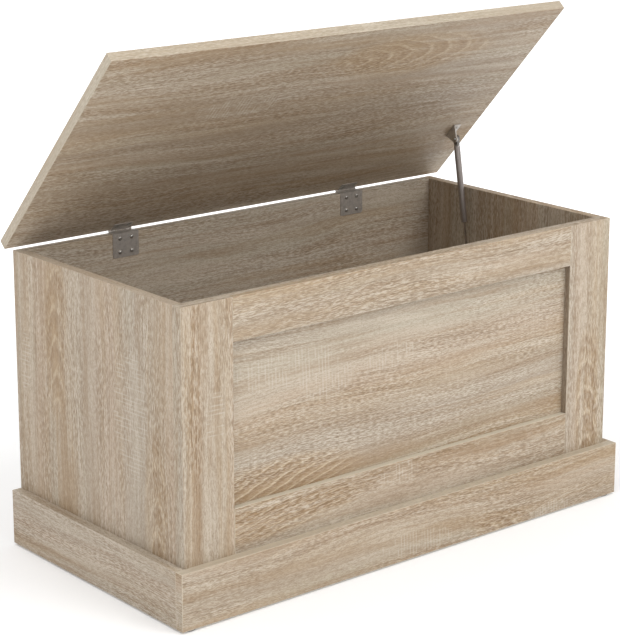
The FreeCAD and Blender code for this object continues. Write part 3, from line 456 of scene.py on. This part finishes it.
BOARDS = {
    # node: along, across, shift of the print, bands, slant, rings, saw marks
    "front_panel": dict(
        grain="X",
        across="Z",
        shift=(0.45, 4.10, 1.2),
        bands=[(-0.20, TAN), (-0.085, TAN), (-0.055, BROWN), (-0.025, GREY), (0.005, GREY),
               (0.035, TAN), (0.062, PINK), (0.095, PALE), (0.125, GREEN), (0.165, GREY)],
        tilt=0.045,
        rings=[(0.12, -0.17, 3.6, -0.27, -0.050, 0.20, 0.036)],
        figure=1.15,
        sawn=[(-0.21, 0.115, 0.10, 0.030), (-0.15, 0.080, 0.05, 0.036), (-0.03, 0.085, 0.06, 0.020)],
    ),
    "front_left_stile": dict(
        grain="Z",
        across="X",
        shift=(7.20, 1.15, 1.5),
        bands=[(-0.042, GREY), (-0.030, TAN), (-0.020, BROWN), (-0.012, BROWN), (0.0, PALE), (0.010, PALE),
               (0.020, GREY), (0.030, TAN), (0.042, PINK)],
        sawn=[(0.055, 0.012, 0.045, 0.014)],
        shaded_recess_side=1,
    ),
    "front_right_stile": dict(
        grain="Z",
        across="X",
        shift=(8.60, 5.30, 1.8),
        bands=[(-0.040, GREY), (-0.022, PINK), (0.0, PALE), (0.020, TAN), (0.04, GREEN)],
        rings=[(-0.24, 0.008, 4.2, -0.07, 0.008, 0.14, 0.030)],
        shaded_recess_side=-1,
    ),
    "front_top_rail": dict(
        grain="X",
        across="Z",
        shift=(9.70, 2.75, 2.1),
        bands=[(-0.03, GREY), (-0.012, TAN), (0.005, GREY), (0.03, TAN)],
        tilt=0.02,
        shaded_recess_side=-1,
    ),
    "front_bottom_rail": dict(
        grain="X",
        across="Z",
        shift=(10.9, 6.20, 2.4),
        bands=[(-0.07, GREY), (0.02, GREY), (0.045, TAN), (0.062, BROWN), (0.08, TAN)],
        tilt=0.03,
        rings=[(0.12, -0.06, 3.6, -0.28, 0.050, 0.20, 0.028)],
        # raised edge paleness and edge wear: a painted highlight along the rail's lit top edge
        edge_band_and_highlight=0.95,
        edge_wear_and_highlight_amount=0.65,
        sawn=[(-0.02, 0.05, 0.05, 0.02)],
    ),
    "plinth_front_board": dict(
        grain="X",
        across="Z",
        shift=(12.3, 1.90, 2.7),
        bands=[(-0.04, TAN), (-0.022, GREY), (-0.005, TAN), (0.012, PALE), (0.028, PINK), (0.04, TAN)],
        tilt=-0.035,
        mitred=True,
        # raised edge paleness and edge wear: a painted highlight along the plinth's lit top edge
        edge_band_and_highlight=0.55,
        edge_wear_and_highlight_amount=0.62,
        rings=[(0.08, -0.026, 4.6, 0.17, -0.018, 0.07, 0.024)],
        sawn=[(0.00, -0.02, 0.08, 0.02), (0.28, -0.022, 0.04, 0.016)],
    ),
    "plinth_left_board": dict(
        grain="Y",
        across="Z",
        shift=(13.4, 4.70, 3.0),
        bands=[(-0.04, GREY), (-0.018, PALE), (0.005, PINK), (0.022, GREY), (0.04, PALE)],
    ),
    "plinth_right_board": dict(
        grain="Y",
        across="Z",
        shift=(14.8, 7.10, 3.3),
        bands=[(-0.04, GREY), (-0.01, TAN), (0.015, PINK), (0.04, TAN)],
    ),
    "left_side_panel": dict(
        grain="Z",
        across="Y",
        shift=(0.31, 0.12, 0.0),
        bands=[(-0.19, PINK), (-0.165, TAN), (-0.135, GREY), (-0.095, GREY), (-0.06, PINK), (-0.03, PINK),
               (0.01, GREY), (0.045, TAN), (0.075, BROWN), (0.105, TAN), (0.125, PINK), (0.16, TAN),
               (0.19, GREY)],
        figure=0.75,
        rings=[(-0.26, -0.149, 6.0, -0.07, -0.149, 0.12, 0.026), (-0.10, 0.087, 5.0, 0.11, 0.083, 0.13, 0.036)],
        sawn=[(0.046, -0.095, 0.10, 0.042), (0.06, 0.165, 0.05, 0.016)],
    ),
    "right_side_panel": dict(
        grain="Z",
        across="Y",
        shift=(1.70, 2.40, 0.3),
        bands=[(-0.19, TAN), (-0.12, PALE), (-0.06, PINK), (0.0, TAN), (0.05, GREY), (0.10, GREEN),
               (0.15, PALE), (0.19, TAN)],
        rings=[(-0.30, 0.02, 5.5, -0.08, 0.02, 0.16, 0.045)],
        sawn=[(0.10, -0.09, 0.10, 0.035)],
    ),
    "back_panel": dict(
        grain="X",
        across="Z",
        shift=(3.20, 0.80, 0.6),
        bands=[(-0.20, GREY), (-0.13, TAN), (-0.06, PALE), (0.0, GREY), (0.06, PALE), (0.11, GREY),
               (0.15, PALE), (0.19, GREY), (0.22, PALE)],
        tilt=0.02,
        rings=[(-0.35, 0.04, 4.5, -0.12, 0.04, 0.20, 0.05)],
        sawn=[(0.20, -0.05, 0.12, 0.04)],
    ),
    "bottom_panel": dict(
        grain="X",
        across="Y",
        shift=(5.10, 3.30, 0.9),
        bands=[(-0.18, GREY), (-0.10, PALE), (-0.04, GREY), (0.03, PALE), (0.10, PINK), (0.18, PALE)],
        tilt=-0.02,
        rings=[(0.30, -0.02, 5.0, 0.05, -0.02, 0.20, 0.05)],
        sawn=[(-0.22, 0.08, 0.10, 0.04)],
    ),
}
for node, look in BOARDS.items():
    lo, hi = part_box(node)
    dress(node, oak(node + "_print", lo=tuple(lo), hi=tuple(hi), **look))

# the lid's own corners, closed
lid_lo = (-0.420, 0.2074 - 0.413, 0.447)
lid_hi = (0.420, 0.2074, 0.462)
dress(
    "lid",
    oak(
        "lid_print",
        "X",
        "Y",
        lid_lo,
        lid_hi,
        (16.2, 8.45, 3.6),
        # most of the lid's bands use the darker tone copies, as painted shade for the open lid's underside
        bands=[(-0.20, SHADED_TAN), (-0.165, SHADED_GREY), (-0.125, SHADED_TAN), (-0.085, SHADED_GREY), (-0.045, SHADED_TAN),
               (-0.01, SHADED_GREY), (0.04, SHADED_TAN), (0.085, GREY), (0.13, TAN), (0.17, GREY), (0.20, PALE)],
        tilt=-0.03,
        figure=0.68,
        # raised edge paleness: a painted highlight along the lid's lit front edge
        edge_band_and_highlight=0.42,
        rings=[(0.00, -0.13, 5.0, 0.15, -0.135, 0.16, 0.045)],
        sawn=[(-0.13, -0.07, 0.08, 0.028)],
        turned=True,
    ),
)

# ------------------------------------------------------------- inner timber


def timber(name, grain, pale, deep, fine=1.0):
    """Plain planed timber: bands and short pores along one axis."""
    T = Tree(name)
    where, normal = T.coords()
    along = {"X": (1.0, 14.0, 14.0), "Y": (14.0, 1.0, 14.0), "Z": (14.0, 14.0, 1.0)}[grain]
    long = tuple(c * 7.0 * fine for c in along)
    short = tuple(c * 40.0 * fine for c in along)
    band = T.noise(T.vec("MULTIPLY", where, long), detail=3.0, rough=0.6)
    pore = T.noise(T.vec("MULTIPLY", where, short), detail=1.0)
    colour = T.ramp(band, [(0.32, deep), (0.5, pale), (0.7, tuple(min(1.0, c * 1.12) for c in pale))])
    dark = T.range(pore, 0.55, 0.72)
    colour = T.mix(T.math("MULTIPLY", dark, 0.35), colour, tuple(c * 0.6 for c in deep))
    T.shader(
        Base_Color=colour,
        Roughness=T.range(band, 0.3, 0.7, 0.62, 0.78),
        IOR=1.45,
        Normal=T.bump(T.math("SUBTRACT", T.math("MULTIPLY", band, 0.5), dark), 0.5, 0.00015),
    )
    return T.mat


pine_x = timber("pine_cleat_long", "X", srgb(214, 184, 138), srgb(186, 148, 98))
pine_y = timber("pine_cleat_short", "Y", srgb(212, 182, 137), srgb(184, 147, 99))
dress("front_cleat", pine_x)
dress("rear_cleat", pine_x)
dress("left_cleat", pine_y)
dress("right_cleat", pine_y)
dress("wood_dowels", timber("beech_dowel", "X", srgb(216, 186, 148), srgb(192, 158, 118), 2.0))

# -------------------------------------------------------------------- metals


def metal(
    name,
    base,
    dark,
    rough,
    brush=(90.0, 90.0, 900.0),
    scratch=0.35,
    metallic=1.0,
    stain=0.3,
    grit=1.0,
    turned_marks=0.0,
):
    """Plated or ground metal: fine brushing, soft blotches and rubbed spots."""
    T = Tree(name)
    where, normal = T.coords()
    line = T.noise(T.vec("MULTIPLY", where, brush), detail=2.0, rough=0.7)
    blot = T.noise(where, scale=160.0, detail=3.0, rough=0.6)
    speck = T.cells(where, scale=900.0)
    colour = T.mix(T.range(blot, 0.35, 0.75, 0.0, stain), base, dark)
    colour = T.mix(T.range(line, 0.52, 0.75, 0.0, scratch), colour, dark)
    rub = T.noise(where, scale=420.0, detail=1.0)
    colour = T.mix(
        T.range(rub, 0.60, 0.75, 0.0, 0.25 * grit), colour, tuple(min(1.0, c * 1.25) for c in base)
    )
    gloss = T.math(
        "ADD",
        T.range(blot, 0.3, 0.7, rough - 0.06 * grit, rough + 0.08 * grit),
        T.range(line, 0.4, 0.7, -0.03 * grit, 0.05 * grit),
    )
    relief = T.math("ADD", T.math("MULTIPLY", line, 0.6), T.math("MULTIPLY", speck, 0.3))
    T.shader(
        Base_Color=colour,
        Metallic=metallic,
        Roughness=gloss,
        Normal=T.bump(relief, 0.25, 0.00004 * grit),
    )
    if turned_marks:
        # fine marks round a turned tube draw its highlight out along the length
        round_z = T.t.nodes.new("ShaderNodeTangent")
        round_z.direction_type = "RADIAL"
        round_z.axis = "Z"
        T.shader(Anisotropic=turned_marks, Tangent=round_z.outputs[0])
    return T.mat


hinge_steel = metal("hinge_steel", srgb(196, 190, 183), srgb(136, 130, 124), 0.46, stain=0.45, metallic=0.8, grit=0.6)
pin_steel = metal("hinge_pin_steel", srgb(190, 189, 186), srgb(128, 126, 122), 0.28, (900.0, 90.0, 90.0))
zinc = metal("zinc_screw", srgb(176, 173, 167), srgb(122, 118, 111), 0.44, (240.0, 240.0, 240.0))
cast_zinc = metal("cast_zinc", srgb(196, 196, 195), srgb(146, 145, 143), 0.45, (300.0, 300.0, 300.0), metallic=0.7)
tube_paint = metal(
    "strut_tube_lacquer",
    srgb(160, 152, 147),
    srgb(118, 111, 106),
    0.36,
    (90.0, 90.0, 20.0),
    0.10,
    0.85,
    0.12,
    0.12,
    0.8,
)
rod_chrome = metal(
    "strut_rod_chrome", srgb(190, 188, 187), srgb(150, 148, 147), 0.14, (120.0, 120.0, 1500.0), 0.12, 1.0, 0.1, 0.15
)
socket_steel = metal(
    "strut_socket_steel", srgb(140, 136, 132), srgb(98, 94, 90), 0.36, (300.0, 300.0, 300.0), grit=0.5
)

for n in ("left_hinge_back_leaf", "right_hinge_back_leaf", "left_hinge_lid_leaf", "right_hinge_lid_leaf",
          "strut_lid_bracket", "strut_wall_bracket"):
    dress(n, hinge_steel)
for n in ("left_hinge_pin", "right_hinge_pin", "strut_lid_rivet", "strut_wall_ball_stud"):
    dress(n, pin_steel)
for n in ("hinge_back_screws", "hinge_lid_screws", "strut_lid_bracket_screws", "strut_wall_bracket_screws",
          "cleat_screws", "plinth_screws", "cam_bolts"):
    dress(n, zinc)
dress("cam_locks", cast_zinc)
dress("strut_cylinder", tube_paint)
dress("strut_rod", rod_chrome)
dress("strut_piston", pin_steel)
dress("strut_upper_eye", socket_steel)
dress("strut_lower_socket", socket_steel)


def plastic(name, base, rough):
    """Moulded plastic with a fine spark-eroded grain and faint scuffs."""
    T = Tree(name)
    where, normal = T.coords()
    grain = T.noise(where, scale=2600.0, detail=1.0)
    cloud = T.noise(where, scale=70.0, detail=3.0)
    scuff = T.noise(T.vec("MULTIPLY", where, (60.0, 700.0, 200.0)), detail=2.0)
    colour = T.mix(T.range(cloud, 0.3, 0.7, 0.0, 0.35), base, tuple(c * 0.8 for c in base))
    colour = T.mix(T.range(scuff, 0.62, 0.75, 0.0, 0.3), colour, tuple(min(1.0, c * 1.5 + 0.03) for c in base))
    T.shader(
        Base_Color=colour,
        Roughness=T.range(cloud, 0.3, 0.7, rough - 0.05, rough + 0.08),
        IOR=1.46,
        Normal=T.bump(grain, 0.35, 0.00005),
    )
    return T.mat


dress("strut_rod_guide", plastic("strut_guide_plastic", srgb(46, 46, 48), 0.45))
dress("floor_glides", plastic("glide_plastic", srgb(140, 138, 133), 0.5))

# ------------------------------------------------------------- softened edges

# The boards' banded edges are rounded by about half a millimetre. Only the twelve outer
# edges of a board are rounded, not the rims of its drilled holes.


def outer_edges(name, lo, hi, turned):
    """Marks, for the bevel, the edges whose middle lies on two sides of the board's box."""
    g = bpy.data.node_groups.new(name, "GeometryNodeTree")
    g.interface.new_socket(name="Geometry", in_out="INPUT", socket_type="NodeSocketGeometry")
    g.interface.new_socket(name="Geometry", in_out="OUTPUT", socket_type="NodeSocketGeometry")
    add = g.nodes.new

    def link(a, b):
        g.links.new(a, b)

    at = add("GeometryNodeInputPosition").outputs[0]
    if turned:
        r = add("ShaderNodeVectorRotate")
        r.rotation_type = "X_AXIS"
        link(at, r.inputs["Vector"])
        r.inputs["Center"].default_value = HINGE
        r.inputs["Angle"].default_value = LID_ANGLE
        at = r.outputs[0]
    sub = add("ShaderNodeVectorMath")
    sub.operation = "SUBTRACT"
    link(at, sub.inputs[0])
    sub.inputs[1].default_value = [(a + b) / 2 for a, b in zip(lo, hi)]
    size = add("ShaderNodeVectorMath")
    size.operation = "ABSOLUTE"
    link(sub.outputs[0], size.inputs[0])
    sep = add("ShaderNodeSeparateXYZ")
    link(size.outputs[0], sep.inputs[0])
    total = None
    for i, (a, b) in enumerate(zip(lo, hi)):
        near = add("ShaderNodeMath")
        near.operation = "COMPARE"
        link(sep.outputs[i], near.inputs[0])
        near.inputs[1].default_value = (b - a) / 2
        near.inputs[2].default_value = 0.00005
        if total is None:
            total = near.outputs[0]
        else:
            plus = add("ShaderNodeMath")
            plus.operation = "ADD"
            link(total, plus.inputs[0])
            link(near.outputs[0], plus.inputs[1])
            total = plus.outputs[0]
    two = add("ShaderNodeMath")
    two.operation = "GREATER_THAN"
    link(total, two.inputs[0])
    two.inputs[1].default_value = 1.5
    store = add("GeometryNodeStoreNamedAttribute")
    store.data_type, store.domain = "FLOAT", "EDGE"
    store.inputs["Name"].default_value = "bevel_weight_edge"
    link(two.outputs[0], store.inputs["Value"])
    # plain faces are shaded flat, so no long triangle of a drilled board shows
    drop = add("GeometryNodeRemoveAttribute")
    drop.inputs["Name"].default_value = "custom_normal"
    plain = add("GeometryNodeSetShadeSmooth")
    plain.inputs["Shade Smooth"].default_value = False
    link(add("NodeGroupInput").outputs[0], drop.inputs["Geometry"])
    link(drop.outputs[0], plain.inputs["Geometry"])
    link(plain.outputs[0], store.inputs["Geometry"])
    link(store.outputs["Geometry"], add("NodeGroupOutput").inputs[0])
    return g


def soften(node, lo, hi, turned=False):
    o = nodes[node]
    weld = o.modifiers.new("join_corners", "WELD")
    weld.merge_threshold = 0.000002
    mark = o.modifiers.new("outer_edges", "NODES")
    mark.node_group = outer_edges(node + "_edges", lo, hi, turned)
    bevel = o.modifiers.new("soft_edges", "BEVEL")
    bevel.width = 0.0006
    bevel.segments = 2
    bevel.limit_method = "WEIGHT"
    bevel.use_clamp_overlap = False
    bevel.harden_normals = False


for node in BOARDS:
    lo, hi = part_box(node)
    soften(node, lo, hi)
soften("lid", lid_lo, lid_hi, turned=True)

# ------------------------------------------------------------- floor and light

floor_tree = Tree("floor_paper")
where, normal = floor_tree.coords()
cloud = floor_tree.noise(where, scale=1.4, detail=3.0)
tooth = floor_tree.noise(where, scale=420.0, detail=2.0)
reach = floor_tree.vec("LENGTH", floor_tree.vec("MULTIPLY", where, (1.0, 1.0, 0.0)))
floor_tree.shader(
    Base_Color=floor_tree.mix(
        floor_tree.range(cloud, 0.3, 0.7, 0.0, 0.5), (0.90, 0.90, 0.90), (0.88, 0.88, 0.885)
    ),
    Roughness=floor_tree.range(cloud, 0.3, 0.7, 0.75, 0.85),
    Normal=floor_tree.bump(tooth, 0.1, 0.0001),
    # the floor glows, weakly next to the chest and more strongly further out: painted light that keeps the floor
    # white and lightens the chest's shadow on it
    Emission_Color=(1.0, 1.0, 1.0, 1.0),
    Emission_Strength=floor_tree.range(reach, 0.35, 2.6, 0.14, 0.60),
)
mesh = bpy.data.meshes.new("floor")
r = 14.0
mesh.from_pydata([(-r, -r, 0), (r, -r, 0), (r, r, 0), (-r, r, 0)], [], [(0, 1, 2, 3)])
floor = bpy.data.objects.new("floor", mesh)
floor.data.materials.append(floor_tree.mat)
scene.collection.objects.link(floor)
floor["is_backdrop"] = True

world = bpy.data.worlds.new("studio")
world.use_nodes = True
background = world.node_tree.nodes["Background"]
background.inputs["Color"].default_value = (1.0, 1.0, 1.0, 1.0)
background.inputs["Strength"].default_value = 0.66
scene.world = world


def area(name, at, to, size, watts, colour=(1.0, 1.0, 1.0)):
    data = bpy.data.lights.new(name, "AREA")
    data.shape = "RECTANGLE"
    data.size, data.size_y = size
    data.energy = watts
    data.color = colour
    o = bpy.data.objects.new(name, data)
    o.location = at
    o.rotation_mode = "QUATERNION"
    o.rotation_quaternion = (Vector(to) - Vector(at)).to_track_quat("-Z", "Y")
    scene.collection.objects.link(o)
    return o


area("key", (1.4, -3.2, 3.9), (0.0, 0.0, 0.3), (2.4, 2.4), 78.0)
area("left", (-2.6, -1.0, 4.0), (0.0, 0.0, 0.3), (2.4, 2.4), 47.0)
area("front", (0.4, -4.2, 2.3), (0.0, 0.0, 0.35), (2.4, 1.6), 27.0)
area("back", (-0.5, 3.2, 3.9), (0.0, 0.0, 0.3), (2.4, 2.4), 36.0)

# -------------------------------------------------------------------- sizes

lo, hi = (list(v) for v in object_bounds())
